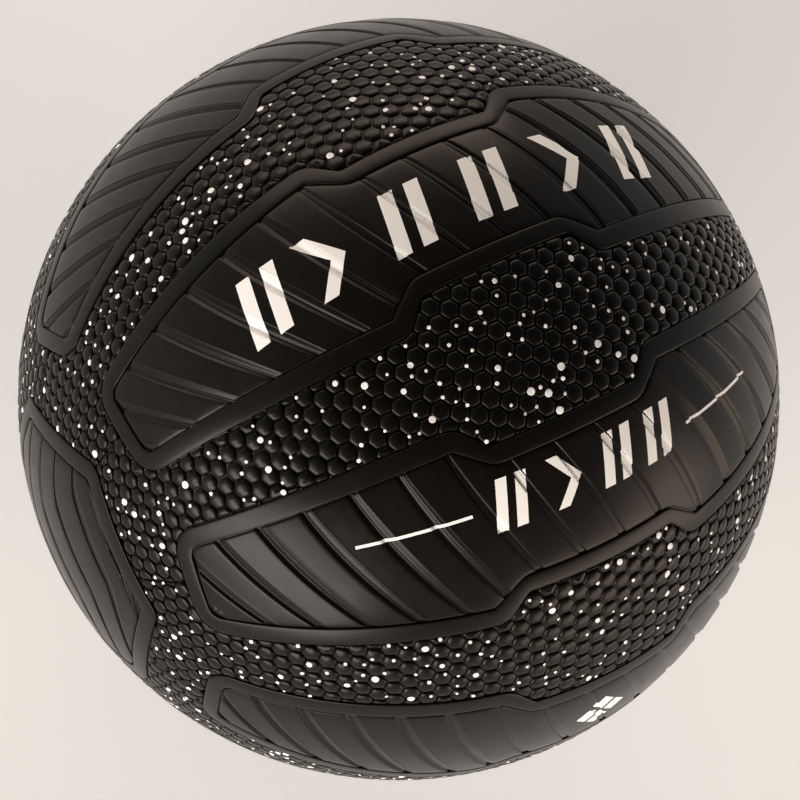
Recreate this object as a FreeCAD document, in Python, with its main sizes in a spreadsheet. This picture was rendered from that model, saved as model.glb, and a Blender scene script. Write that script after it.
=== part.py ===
"""A size 7 moulded-rubber ball as separate pieces.

From the inside out: an inflatable bladder with its valve and its balance patch, a wound
nylon carcass, a backing of soft rubber, and the cover. The cover is a pebbled field with
eight long tread strips that run round the X axis, a six-sided tread cap at each end of that
axis, and a smooth raised band round every one of them.

The ball's centre is the origin. +X is the axis of the caps, +Z is the middle of the gap
between two strips, and the valve's mouth looks along -Y.
"""
import FreeCAD, Part
import math
import os

import Sketcher

doc = FreeCAD.newDocument("moulded_ball")
CENTRE = FreeCAD.Vector(0, 0, 0)
X_AXIS = FreeCAD.Vector(1, 0, 0)
Y_AXIS = FreeCAD.Vector(0, 1, 0)
Z_AXIS = FreeCAD.Vector(0, 0, 1)

# ---------------------------------------------------------------- driving dimensions
# Lengths in millimetres. Angles in degrees, seen from the ball's centre.
DIMENSIONS = {
    "ball_radius": 120.5,
    "cover_depth": 1.9,
    "pebble_drop": 0.4,
    "backing_depth": 0.4,
    "winding_depth": 0.3,
    "bladder_depth": 0.6,
    "strip_count": 8,
    "outer_waist_along": 11.9,
    "outer_waist_half": 11.2,
    "outer_shoulder_along": 15.9,
    "outer_shoulder_half": 15.4,
    "outer_end_along": 59.5,
    "outer_end_half": 14.5,
    "inner_waist_along": 11.9,
    "inner_waist_half": 8.6,
    "inner_shoulder_along": 17.0,
    "inner_shoulder_half": 12.5,
    "inner_end_along": 57.1,
    "inner_end_half": 9.9,
    "jog_rounding": 4.0,
    "outer_end_rounding": 9.0,
    "inner_end_rounding": 5.0,
    "outer_cap_corner": 23.2,
    "inner_cap_corner": 20.2,
    "cap_turn": 22.5,
    "outer_cap_rounding": 6.0,
    "inner_cap_rounding": 3.0,
    "groove_pitch": 6.85,
    "groove_width": 1.3,
    "groove_depth": 0.9,
    "groove_lean": 22.0,
    "end_groove_lean": 45.0,
    "cap_groove_lean": -21.0,
    "stem_radius": 4.5,
    "stem_reach": 13.5,
    "stem_recess": 0.6,
    "flange_radius": 12.0,
    "flange_depth": 1.3,
    "core_radius": 2.9,
    "core_floor": 1.5,
    "needle_radius": 1.1,
    "needle_depth": 4.0,
    "patch_radius": 15.0,
    "patch_depth": 0.9,
}
sheet = doc.addObject("Spreadsheet::Sheet", "Sizes")
for row, (alias, value) in enumerate(DIMENSIONS.items(), start=1):
    sheet.set(f"A{row}", alias)
    sheet.set(f"B{row}", str(value))
    sheet.setAlias(f"B{row}", alias)
doc.recompute()


def size(alias):
    """The value of one driving dimension."""
    return float(sheet.get(alias))


# ---------------------------------------------------------------- helpers
def bound(kind, name, **expressions):
    """A Part object whose properties follow expressions on the sheet."""
    made = doc.addObject(kind, name)
    for prop, expression in expressions.items():
        made.setExpression(prop, expression)
    return made


def turned(made, turn):
    """Gives an object a rotation about the ball's centre."""
    made.Placement = FreeCAD.Placement(CENTRE, turn)
    return made


def boolean(kind, name, base, tool):
    """A Part::Cut, Part::Common or other boolean of two objects."""
    made = doc.addObject(kind, name)
    made.Base = base
    made.Tool = tool
    return made


def group(name, members):
    """A compound of other objects."""
    made = doc.addObject("Part::Compound", name)
    made.Links = members
    return made


def shell(name, outer_expression, inner_expression):
    """The space between two spheres about the origin."""
    outer = bound("Part::Sphere", f"{name}_outer", Radius=outer_expression)
    inner = bound("Part::Sphere", f"{name}_inner", Radius=inner_expression)
    return boolean("Part::Cut", name, outer, inner)


def about_x(angle):
    """A rotation about the caps' axis."""
    return FreeCAD.Rotation(X_AXIS, angle)


# ---------------------------------------------------------------- outlines seen from the centre
# Each outline is drawn on planes at right angles to its own middle line of sight. A straight
# line there is a great circle on the ball, and a loft between two such planes has radial walls.
LEVELS = (0.4, 1.1)
RADIAL_LIMIT = 1.0  # the most, in mm2, that the cross product of a radial edge's ends comes to
END_CORNERS_FROM = 35.0  # degrees along a strip, past which its corners are its ends' own


def strip_corners(edge):
    """The strip's 12 corners, in order, as (sign x, x alias, sign y, y alias)."""
    quarter = [
        (f"{edge}_{corner}_along", f"{edge}_{corner}_half")
        for corner in ("waist", "shoulder", "end")
    ]
    corners = []
    for sign_x, sign_y in ((1, 1), (1, -1), (-1, -1), (-1, 1)):
        ordered = quarter if sign_x == sign_y else list(reversed(quarter))
        corners += [(sign_x, along, sign_y, half) for along, half in ordered]
    return corners


def hold(sketch, edge, sign, direction, expression):
    """Fixes one coordinate of an edge's first point at sign times an expression."""
    ends = (-1, 1, edge, 1) if sign > 0 else (edge, 1, -1, 1)
    index = sketch.addConstraint(Sketcher.Constraint(direction, *ends, 1.0))
    sketch.setExpression(f"Constraints[{index}]", expression)


def strip_sketch(name, edge, level):
    """The strip's outline on a plane at level times the ball's radius."""
    sketch = doc.addObject("Sketcher::SketchObject", name)
    sketch.setExpression("Placement.Base.z", f"Sizes.ball_radius * {level}")
    reach = size("ball_radius") * level
    corners = strip_corners(edge)
    points = [
        FreeCAD.Vector(
            sign_x * reach * math.tan(math.radians(size(along))),
            sign_y * reach * math.tan(math.radians(size(half))),
            0,
        )
        for sign_x, along, sign_y, half in corners
    ]
    count = len(points)
    for k, start in enumerate(points):
        sketch.addGeometry(Part.LineSegment(start, points[(k + 1) % count]))
    for k in range(count):
        sketch.addConstraint(Sketcher.Constraint("Coincident", k, 2, (k + 1) % count, 1))
    for k, (sign_x, along, sign_y, half) in enumerate(corners):
        on_plane = f"Sizes.ball_radius * {level} * tan(Sizes.%s)"
        hold(sketch, k, sign_x, "DistanceX", on_plane % along)
        hold(sketch, k, sign_y, "DistanceY", on_plane % half)
    return sketch


def cap_polygon(name, edge, level):
    """The cap's six-sided outline on a plane at level times the ball's radius."""
    return bound(
        "Part::RegularPolygon",
        name,
        Circumradius=f"Sizes.ball_radius * {level} * tan(Sizes.{edge}_cap_corner)",
        **{"Placement.Base.z": f"Sizes.ball_radius * {level}"},
    )


def radial_block(name, sections):
    """A straight-sided block between two similar outlines."""
    loft = doc.addObject("Part::Loft", name)
    loft.Sections = sections
    loft.Solid = True
    loft.Ruled = True
    return loft


def rounded(name, block, radius_for):
    """Rounds the radial edges for which radius_for, given the edge's middle, is not zero."""
    doc.recompute()
    made = doc.addObject("Part::Fillet", name)
    made.Base = block
    edges = []
    for k, edge in enumerate(block.Shape.Edges, start=1):
        start, end = (vertex.Point for vertex in edge.Vertexes)
        if start.cross(end).Length > RADIAL_LIMIT:
            continue
        radius = radius_for(edge.CenterOfMass)
        edges.append((k, radius, radius))
    made.Edges = edges
    return made


def strip_block(edge):
    """The wedge, from the ball's centre, that an outline of the strip stands on."""
    sketches = [
        strip_sketch(f"{edge}_strip_outline_{k}", edge, level) for k, level in enumerate(LEVELS)
    ]
    block = radial_block(f"{edge}_strip_wedge", sketches)
    end_slope = math.tan(math.radians(END_CORNERS_FROM))

    def radius_for(middle):
        near_end = abs(middle.x) > end_slope * middle.z
        return size(f"{edge}_end_rounding") if near_end else size("jog_rounding")

    return rounded(f"{edge}_strip_block", block, radius_for)


def cap_block(edge):
    """The wedge, from the ball's centre, that an outline of the cap stands on."""
    polygons = [
        cap_polygon(f"{edge}_cap_outline_{k}", edge, level) for k, level in enumerate(LEVELS)
    ]
    block = radial_block(f"{edge}_cap_wedge", polygons)
    return rounded(f"{edge}_cap_block", block, lambda middle: size(f"{edge}_cap_rounding"))


strip_turns = [
    about_x((k + 0.5) * 360 / size("strip_count")) for k in range(int(size("strip_count")))
]
cap_turns = {
    "right": FreeCAD.Rotation(Y_AXIS, 90) * FreeCAD.Rotation(Z_AXIS, size("cap_turn")),
    "left": FreeCAD.Rotation(Y_AXIS, -90) * FreeCAD.Rotation(Z_AXIS, size("cap_turn")),
}

# ---------------------------------------------------------------- radii of the layers
# A tool that cuts through every layer starts at the first of these shares of the ball's radius
# and is as high as the second. The third is as wide as any tread.
TOOL_START = 0.9
TOOL_HEIGHT = 0.2
TOOL_WIDTH = 0.7
COVER_INSIDE = "(Sizes.ball_radius - Sizes.cover_depth)"
BACKING_INSIDE = f"({COVER_INSIDE} - Sizes.backing_depth)"
WINDING_INSIDE = f"({BACKING_INSIDE} - Sizes.winding_depth)"
BLADDER_INSIDE = f"({WINDING_INSIDE} - Sizes.bladder_depth)"

cover_shell = shell("cover_shell", "Sizes.ball_radius", COVER_INSIDE)
pebble_shell = shell("pebble_shell", "Sizes.ball_radius - Sizes.pebble_drop", COVER_INSIDE)
backing_shell = shell("backing_shell", COVER_INSIDE, BACKING_INSIDE)
winding_shell = shell("winding_shell", BACKING_INSIDE, WINDING_INSIDE)
bladder_shell = shell("bladder_shell", WINDING_INSIDE, BLADDER_INSIDE)

# ---------------------------------------------------------------- grooves between the tread lugs
groove_shell = shell(
    "groove_shell", "Sizes.ball_radius + Sizes.cover_depth", "Sizes.ball_radius - Sizes.groove_depth"
)


def groove_slab(name, along, lean):
    """A thin radial slab, leaning in the strip, whose middle is at an angle along the strip."""
    slab = bound(
        "Part::Box",
        name,
        Length="Sizes.groove_width",
        Width=f"Sizes.ball_radius * {TOOL_WIDTH}",
        Height=f"Sizes.ball_radius * {TOOL_HEIGHT}",
    )
    turn = FreeCAD.Rotation(Y_AXIS, along) * FreeCAD.Rotation(Z_AXIS, lean)
    corner = FreeCAD.Vector(
        -size("groove_width") / 2,
        -size("ball_radius") * TOOL_WIDTH / 2,
        size("ball_radius") * TOOL_START,
    )
    slab.Placement = FreeCAD.Placement(turn.multVec(corner), turn)
    return slab


def groove_set(name, reach, lean_at):
    """Grooves at an even pitch out to an angle of reach. lean_at gives each one's lean."""
    pitch = size("groove_pitch")
    steps = int(reach / pitch)
    slabs = [
        groove_slab(f"{name}_slab_{k + steps}", k * pitch, lean_at(k * pitch))
        for k in range(-steps, steps + 1)
    ]
    return boolean("Part::Common", name, group(f"{name}_slabs", slabs), groove_shell)


# How many degrees inside a tread's end its outermost groove may stand.
STRIP_EDGE = 1.0
CAP_EDGE = 3.0


def strip_lean(along):
    """A strip's grooves lean more and more towards its ends."""
    share = (along / size("inner_end_along")) ** 2
    return size("groove_lean") * (1 - share) + size("end_groove_lean") * share


# ---------------------------------------------------------------- tread strips, caps and bands
outer_strip = strip_block("outer")
inner_strip = strip_block("inner")
outer_cap = cap_block("outer")
inner_cap = cap_block("inner")

strip_blank = boolean("Part::Common", "strip_blank", cover_shell, inner_strip)
strip_footprint = boolean("Part::Common", "strip_footprint", cover_shell, outer_strip)
cap_blank = boolean("Part::Common", "cap_blank", cover_shell, inner_cap)
cap_footprint = boolean("Part::Common", "cap_footprint", cover_shell, outer_cap)
strip_grooves = groove_set("strip_grooves", size("inner_end_along") - STRIP_EDGE, strip_lean)
cap_grooves = groove_set(
    "cap_grooves", size("inner_cap_corner") - CAP_EDGE, lambda along: size("cap_groove_lean")
)

nodes = []
footprints = []
for k, turn in enumerate(strip_turns, start=1):
    tread = boolean("Part::Cut", f"tread_strip_{k}", strip_blank, strip_grooves)
    band = boolean("Part::Cut", f"strip_band_{k}", strip_footprint, inner_strip)
    nodes += [turned(tread, turn), turned(band, turn)]
    footprints.append(turned(group(f"strip_footprint_{k}", [outer_strip]), turn))
for side, turn in cap_turns.items():
    tread = boolean("Part::Cut", f"{side}_cap", cap_blank, cap_grooves)
    band = boolean("Part::Cut", f"{side}_cap_band", cap_footprint, inner_cap)
    nodes += [turned(tread, turn), turned(band, turn)]
    footprints.append(turned(group(f"{side}_cap_footprint", [outer_cap]), turn))

# ---------------------------------------------------------------- valve, along -Y
TO_VALVE = FreeCAD.Rotation(X_AXIS, 90)


def valve_cylinder(name, radius, bottom, height):
    """A cylinder on the valve's axis, from a distance out of the centre."""
    made = bound("Part::Cylinder", name, Radius=radius, Height=height)
    made.setExpression("Placement.Base.y", f"-({bottom})")
    made.Placement = FreeCAD.Placement(made.Placement.Base, TO_VALVE)
    return made


STEM_TOP = "(Sizes.ball_radius - Sizes.stem_recess)"
STEM_BOTTOM = f"({BLADDER_INSIDE} - Sizes.stem_reach)"
stem = valve_cylinder("stem", "Sizes.stem_radius", STEM_BOTTOM, f"{STEM_TOP} - {STEM_BOTTOM}")
flange_disc = valve_cylinder(
    "flange_disc",
    "Sizes.flange_radius",
    f"{BLADDER_INSIDE} * {TOOL_START}",
    f"Sizes.ball_radius * {TOOL_HEIGHT}",
)
flange_shell = shell("flange_shell", BLADDER_INSIDE, f"{BLADDER_INSIDE} - Sizes.flange_depth")
flange = boolean("Part::Common", "flange", flange_shell, flange_disc)
core_seat = valve_cylinder(
    "core_seat",
    "Sizes.core_radius",
    f"{STEM_BOTTOM} + Sizes.core_floor",
    f"{STEM_TOP} - {STEM_BOTTOM}",
)
valve_solid = boolean("Part::Fuse", "valve_solid", flange, stem)
valve_body = boolean("Part::Cut", "valve_body", valve_solid, core_seat)
core_blank = valve_cylinder(
    "core_blank",
    "Sizes.core_radius",
    f"{STEM_BOTTOM} + Sizes.core_floor",
    f"{STEM_TOP} - {STEM_BOTTOM} - Sizes.core_floor",
)
needle_hole = valve_cylinder(
    "needle_hole",
    "Sizes.needle_radius",
    f"{STEM_TOP} - Sizes.needle_depth",
    f"Sizes.ball_radius * {TOOL_HEIGHT}",
)
valve_core = boolean("Part::Cut", "valve_core", core_blank, needle_hole)
stem_hole = valve_cylinder(
    "stem_hole",
    "Sizes.stem_radius",
    f"{BLADDER_INSIDE} * {TOOL_START}",
    f"Sizes.ball_radius * {TOOL_HEIGHT}",
)
nodes += [valve_body, valve_core]

# ---------------------------------------------------------------- balance patch, opposite the valve
patch_shell = shell("patch_shell", BLADDER_INSIDE, f"{BLADDER_INSIDE} - Sizes.patch_depth")
patch_disc = bound(
    "Part::Cylinder", "patch_disc", Radius="Sizes.patch_radius", Height="Sizes.ball_radius"
)
patch_disc.Placement = FreeCAD.Placement(CENTRE, FreeCAD.Rotation(X_AXIS, -90))
balance_patch = boolean("Part::Common", "balance_patch", patch_shell, patch_disc)
nodes.append(balance_patch)

# ---------------------------------------------------------------- layers that the valve passes through
bladder = boolean("Part::Cut", "bladder", bladder_shell, stem_hole)
thread_winding = boolean("Part::Cut", "thread_winding", winding_shell, stem_hole)
backing_rubber = boolean("Part::Cut", "backing_rubber", backing_shell, stem_hole)
field_openings = group("field_openings", footprints + [stem_hole])
pebble_cover = boolean("Part::Cut", "pebble_cover", pebble_shell, field_openings)
nodes += [bladder, thread_winding, backing_rubber, pebble_cover]

# ---------------------------------------------------------------- check and write
doc.recompute()
for made in doc.Objects:
    if {"Invalid", "Error"} & set(made.State):
        raise RuntimeError(f"{made.Name}: {made.State}")
os.makedirs("parts", exist_ok=True)
for node in nodes:
    if node.Shape.isNull() or not node.Shape.isValid():
        raise RuntimeError(f"{node.Name} has no valid shape")
    node.Shape.exportStep(f"parts/{node.Label}.step")
    print(f"{node.Label}: {len(node.Shape.Solids)} solid, {node.Shape.Volume:.0f} mm3")
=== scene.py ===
"""The looks of a moulded-rubber ball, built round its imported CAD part.

The ball's centre is the origin. Eight tread strips run round the X axis, and a six-sided cap
sits at each end of it. A raised band edges each of them, hexagonal pebbles fill the eight
gaps between the strips, and the valve looks along -Y.
"""
from __future__ import annotations

import logging
import math
from dataclasses import dataclass, field
from enum import Enum

import bmesh
import bpy
import numpy as np
from mathutils import Matrix, Vector

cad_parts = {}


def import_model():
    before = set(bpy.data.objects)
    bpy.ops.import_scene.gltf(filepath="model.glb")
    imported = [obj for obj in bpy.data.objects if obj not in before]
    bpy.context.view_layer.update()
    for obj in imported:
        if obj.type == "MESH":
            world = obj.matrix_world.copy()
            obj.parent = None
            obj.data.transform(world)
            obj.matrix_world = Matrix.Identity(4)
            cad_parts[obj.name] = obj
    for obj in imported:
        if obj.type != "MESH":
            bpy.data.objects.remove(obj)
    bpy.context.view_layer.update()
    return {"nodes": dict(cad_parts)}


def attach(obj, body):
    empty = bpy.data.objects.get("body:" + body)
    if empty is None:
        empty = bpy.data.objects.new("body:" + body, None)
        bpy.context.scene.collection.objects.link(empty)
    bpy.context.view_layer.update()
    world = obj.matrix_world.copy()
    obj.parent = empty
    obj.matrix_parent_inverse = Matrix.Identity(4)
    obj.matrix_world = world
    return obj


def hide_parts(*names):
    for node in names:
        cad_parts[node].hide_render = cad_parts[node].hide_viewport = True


LOG = logging.getLogger("moulded_ball")
Points = np.ndarray
MM = 0.001
BALL_RADIUS = 0.1205
COVER_INSIDE = BALL_RADIUS - 1.9 * MM
STRIP_COUNT = 8
STRIP_STEP = 360 / STRIP_COUNT
MM_TO_RADIANS = MM / BALL_RADIUS
HAIR = 0.02  # a mismatch in mm that nobody sees, left where two pieces meet
WELD_MM = 0.12  # neighbouring pebbles' edges this close are joined
FAR_MM = 1e3  # a distance in mm beyond anything on the ball
TINY = 1e-6
INSET_BLOCK = 20000  # points measured at a time, to keep memory low


class Slot(Enum):
    """The record's material slots."""

    TREAD = "tread_rubber"
    BAND = "band_rubber"
    PEBBLE = "pebble_rubber"
    INK = "print_ink"
    BACKING = "backing_rubber"
    THREAD = "nylon_thread"
    BUTYL = "butyl_rubber"
    VALVE = "valve_rubber"


# ---------------------------------------------------------------- directions from the centre
def unit(vectors: Points) -> Points:
    """Vectors scaled to a length of 1."""
    return vectors / np.linalg.norm(vectors, axis=-1, keepdims=True)


def dot(a: Points, b: Points) -> Points:
    """Dot products along the last axis."""
    return (a * b).sum(-1)


def about(axis: str, degrees: float) -> Points:
    """A 3 x 3 rotation about a named axis."""
    return np.array(Matrix.Rotation(math.radians(degrees), 3, axis))


def direction(along: Points, across: Points) -> Points:
    """Turns angles on a panel into directions from the ball's centre.

    Args:
        along: Degrees along the panel's own X.
        across: Degrees off the great circle that runs along it.

    Returns:
        Directions, with the panel's middle at +Z.
    """
    u, v = np.radians(along), np.radians(across)
    return np.stack([np.sin(u) * np.cos(v), np.sin(v), np.cos(u) * np.cos(v)], -1)


def smoothstep(low: float, high: float, value: Points) -> Points:
    """Rises smoothly from 0 at low to 1 at high."""
    share = np.clip((value - low) / (high - low), 0, 1)
    return share * share * (3 - 2 * share)


def circle(ways: int) -> Points:
    """Angles in radians, spread evenly round a circle."""
    return np.arange(ways) * math.tau / ways


def rays(middle: Points, ways: int) -> Points:
    """Directions that leave each middle at even turns, along the ball's surface."""
    side = unit(np.cross(middle, np.cross((1.0, 0.0, 0.0), middle)))
    up = np.cross(middle, side)
    turns = circle(ways)[None, :, None]
    return side[:, None] * np.cos(turns) + up[:, None] * np.sin(turns)


class Outline:
    """A closed line on the ball, of great-circle edges joined by round corners."""

    fine_step = 0.3
    fine_corner_steps = 9

    def __init__(self, corners: Points, roundings: Points) -> None:
        """Rounds the corners.

        Args:
            corners: Directions of the corners, anticlockwise as seen from outside.
            roundings: Radius of each corner in mm.
        """
        self.edge_in = unit(np.cross(corners, np.roll(corners, -1, 0)))
        before, after = np.roll(self.edge_in, 1, 0), self.edge_in
        across = np.cross(before, after)
        self.turn = np.sign(dot(across, corners))[:, None]
        self.radius = (np.asarray(roundings) * MM_TO_RADIANS)[:, None]
        lean = self.turn * np.sin(self.radius) * (before + after)
        lean = lean / (1 + dot(before, after)[:, None])
        rest = np.sqrt(1 - dot(lean, lean)) / np.linalg.norm(across, axis=-1)
        self.centre = lean + rest[:, None] * across * self.turn
        self.start = unit(self.centre - dot(self.centre, before)[:, None] * before)
        self.end = unit(self.centre - dot(self.centre, after)[:, None] * after)
        self.dense = self.path(self.edge_steps(self.fine_step), self.fine_corner_steps)

    def edge_steps(self, spacing: float) -> list[int]:
        """How many steps of about this many degrees each edge takes."""
        reach = np.degrees(np.arccos(np.clip(dot(self.end, np.roll(self.start, -1, 0)), -1, 1)))
        return [max(2, round(r / spacing)) for r in reach]

    def path(self, edge_steps: list[int], corner_steps: int) -> tuple[Points, Points]:
        """Walks round the outline.

        Args:
            edge_steps: Steps on each edge.
            corner_steps: Steps on each corner.

        Returns:
            Directions of the points, and the way inwards at each of them.
        """
        places, inwards = [], []
        for k, steps in enumerate(edge_steps):
            c, r, turn = self.centre[k], self.radius[k], self.turn[k]
            first = unit(self.start[k] - dot(self.start[k], c) * c)
            second = np.cross(c, first) * turn
            sweep = math.atan2(dot(self.end[k], second), dot(self.end[k], first))
            angle = np.linspace(0, sweep, corner_steps, endpoint=False)[:, None]
            arc = np.cos(r) * c + np.sin(r) * (np.cos(angle) * first + np.sin(angle) * second)
            places.append(arc)
            inwards.append(turn * unit(c - dot(arc, c)[:, None] * arc))
            share = np.linspace(0, 1, steps, endpoint=False)[:, None]
            a, b = self.end[k], self.start[(k + 1) % len(edge_steps)]
            edge = unit(a * (1 - share) + b * share)
            places.append(edge)
            inwards.append(np.broadcast_to(self.edge_in[k], edge.shape))
        return np.concatenate(places), np.concatenate(inwards)

    def inset(self, points: Points) -> Points:
        """How far inside the outline points are, in mm, and less than 0 outside it."""
        places, inwards = self.dense
        flat = points.reshape(-1, 3)
        found = np.empty(len(flat))
        for first in range(0, len(flat), INSET_BLOCK):
            some = flat[first : first + INSET_BLOCK]
            nearest = np.argmax(some.astype(np.float32) @ places.T.astype(np.float32), 1)
            sines = dot(some, inwards[nearest])
            found[first : first + INSET_BLOCK] = np.arcsin(sines) / MM_TO_RADIANS
        return found.reshape(points.shape[:-1])


# ---------------------------------------------------------------- meshes
class MeshSheet:
    """Collects points and faces for one mesh."""

    def __init__(self) -> None:
        """Starts with nothing."""
        self.points: list[Points] = []
        self.faces: list[Points] = []
        self.count = 0

    def add(self, points: Points, *face_sets: Points) -> None:
        """Adds points, and sets of faces that number them from 0."""
        self.points.append(points.reshape(-1, 3))
        for faces in face_sets:
            self.faces.append(faces.reshape(-1, faces.shape[-1]) + self.count)
        self.count += points.size // 3

    def add_grid(
        self, points: Points, round_columns: bool = False, round_rows: bool = False
    ) -> None:
        """Adds a grid of points with a face in each of its cells.

        Args:
            points: Rows x columns x 3.
            round_columns: Whether the last column joins the first.
            round_rows: Whether the last row joins the first.
        """
        rows, columns = points.shape[:2]
        number = np.arange(rows * columns).reshape(rows, columns)
        if round_rows:
            number = np.concatenate([number, number[:1]], 0)
        if round_columns:
            number = np.concatenate([number, number[:, :1]], 1)
        cells = [number[:-1, :-1], number[:-1, 1:], number[1:, 1:], number[1:, :-1]]
        self.add(points, np.stack(cells, -1))

    def add_studs(self, points: Points, tips: Points, turn: Points) -> Points:
        """Adds round studs, each of rings of points closed by a tip.

        Args:
            points: Studs x ways x rings x 3, with the outermost ring first.
            tips: The top of each stud.
            turn: The rotation that takes them to their place.

        Returns:
            The numbers of the outermost rings' points.
        """
        studs, ways, rings = points.shape[:3]
        number = np.arange(studs * ways * rings).reshape(studs, ways, rings)
        turned = np.roll(number, -1, 1)
        quads = [number[..., :-1], turned[..., :-1], turned[..., 1:], number[..., 1:]]
        tip = number.size + np.arange(studs)[:, None]
        fans = [number[..., -1], turned[..., -1], np.broadcast_to(tip, (studs, ways))]
        every = np.concatenate([points.reshape(-1, 3), tips]) @ turn.T
        self.add(every, np.stack(quads, -1), np.stack(fans, -1))
        return number[..., 0].ravel()

    def mesh(self, name: str) -> bpy.types.Mesh:
        """Makes the Blender mesh, shaded smooth."""
        made = bpy.data.meshes.new(name)
        faces = [face for part in self.faces for face in part.tolist()]
        made.from_pydata(np.concatenate(self.points).tolist(), [], faces)
        made.shade_smooth()
        return made


def place(name: str, mesh: bpy.types.Mesh, finish: bpy.types.Material) -> bpy.types.Object:
    """Puts a mesh in the scene as a piece with one material."""
    mesh.materials.append(finish)
    piece = bpy.data.objects.new(name, mesh)
    bpy.context.scene.collection.objects.link(piece)
    return piece


def fit(piece: bpy.types.Object, slot: Slot, *stands_for: str) -> bpy.types.Object:
    """Joins a piece to the frame and reports it.

    Args:
        piece: The piece, in place.
        slot: Not used.
        stands_for: CAD nodes that it's shown instead of.

    Returns:
        The piece.
    """
    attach(piece, "root")
    if stands_for:
        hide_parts(*stands_for)
    LOG.info("%s: %d faces", piece.name, len(piece.data.polygons))
    return piece


def close_down(mesh: bpy.types.Mesh, weld: Points | None = None) -> None:
    """Runs a sheet's open edges down to the inside of the cover.

    Args:
        mesh: The sheet, about the ball's centre.
        weld: Numbers of points that are joined first where they meet.
    """
    work = bmesh.new()
    work.from_mesh(mesh)
    work.verts.ensure_lookup_table()
    if weld is not None:
        joined = [work.verts[k] for k in weld]
        bmesh.ops.remove_doubles(work, verts=joined, dist=WELD_MM * MM)
    rim = [edge for edge in work.edges if edge.is_boundary]
    made = bmesh.ops.extrude_edge_only(work, edges=rim)
    for vert in (item for item in made["geom"] if isinstance(item, bmesh.types.BMVert)):
        vert.co = vert.co.normalized() * COVER_INSIDE
    bmesh.ops.recalc_face_normals(work, faces=work.faces)
    work.to_mesh(mesh)
    work.free()


# ---------------------------------------------------------------- outlines of strips and caps
@dataclass(frozen=True)
class StripOutlines:
    """The two edges of a strip's band.

    Each corner is given by angles at the ball's centre, along and to the side of the strip's
    middle, on a plane that touches the ball there.
    """

    outer_corners: tuple = ((11.9, 11.2), (15.9, 15.4), (59.5, 14.5))
    outer_roundings: tuple = (2.5, 7.5, 9.5)
    inner_corners: tuple = ((11.9, 8.6), (17.0, 12.5), (57.1, 9.9))
    inner_roundings: tuple = (7.6, 1.6, 4.2)

    def make(self, corners: tuple, roundings: tuple) -> Outline:
        """Mirrors a quarter of an outline into the whole of it."""
        ring, radii = [], []
        for sign_x, sign_y in ((1, -1), (1, 1), (-1, 1), (-1, -1)):
            order = range(3) if sign_x != sign_y else range(2, -1, -1)
            for k in order:
                x, y = np.tan(np.radians(corners[k]))
                ring.append((sign_x * x, sign_y * y, 1.0))
                radii.append(roundings[k])
        return Outline(unit(np.array(ring)), np.array(radii))

    def outer(self) -> Outline:
        """The edge towards the pebbles."""
        return self.make(self.outer_corners, self.outer_roundings)

    def inner(self) -> Outline:
        """The edge towards the tread."""
        return self.make(self.inner_corners, self.inner_roundings)


@dataclass(frozen=True)
class CapOutlines:
    """The two edges of a cap's band."""

    outer_corner: float = 23.2
    inner_corner: float = 20.2
    outer_rounding: float = 6.0
    inner_rounding: float = 3.0
    first_corner: float = 22.5
    sides: int = 6

    def make(self, corner: float, rounding: float) -> Outline:
        """A regular outline whose corners are this many degrees from the cap's middle."""
        turn = np.radians(self.first_corner + np.arange(self.sides) * 360 / self.sides)
        reach = math.tan(math.radians(corner))
        ring = np.stack([reach * np.cos(turn), reach * np.sin(turn), np.ones(self.sides)], -1)
        return Outline(unit(ring), np.full(self.sides, rounding))

    def outer(self) -> Outline:
        """The edge towards the pebbles."""
        return self.make(self.outer_corner, self.outer_rounding)

    def inner(self) -> Outline:
        """The edge towards the tread."""
        return self.make(self.inner_corner, self.inner_rounding)


# ---------------------------------------------------------------- raised bands
@dataclass
class RaisedBand:
    """The smooth rubber band round a strip or a cap.

    Both edges have one section, given from the bottom of the wall up, as distances in from that
    edge and heights over the ball's radius, in mm.
    """

    outer: Outline
    inner: Outline
    edge_section: tuple = ((0.0, -1.9), (0.0, -0.34), (0.05, -0.2), (0.2, -0.09), (0.5, -0.03))
    crown: tuple = (0.25, 0.5, 0.75)
    crown_height: float = 0.05
    edge_spacing: float = 1.1
    corner_steps: int = 10
    sharp_from: float = 50.0
    section: Points = field(init=False)

    def __post_init__(self) -> None:
        """Sweeps the section round."""
        steps = self.outer.edge_steps(self.edge_spacing)
        out, out_in = self.outer.path(steps, self.corner_steps)
        inn, inn_in = self.inner.path(steps, self.corner_steps)
        rows = []
        for inset, height in self.edge_section:
            rows.append(self.lift(out + out_in * inset * MM_TO_RADIANS, height))
        for share in self.crown:
            bow = 1 - (2 * share - 1) ** 2
            rows.append(self.lift(out * (1 - share) + inn * share, self.crown_height * bow))
        for inset, height in self.edge_section[::-1]:
            rows.append(self.lift(inn - inn_in * inset * MM_TO_RADIANS, height))
        self.section = np.stack(rows)

    def lift(self, places: Points, height: float) -> Points:
        """Directions taken out to a height in mm over the ball's radius."""
        return unit(places) * (BALL_RADIUS + height * MM)

    def build(self, name: str, turn: Points, finish: bpy.types.Material) -> bpy.types.Object:
        """Makes the band in its place on the ball."""
        sheet = MeshSheet()
        sheet.add_grid(self.section @ turn.T, round_columns=True, round_rows=True)
        mesh = sheet.mesh(name)
        mesh.set_sharp_from_angle(angle=math.radians(self.sharp_from))
        return fit(place(name, mesh, finish), Slot.BAND, name)


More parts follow.
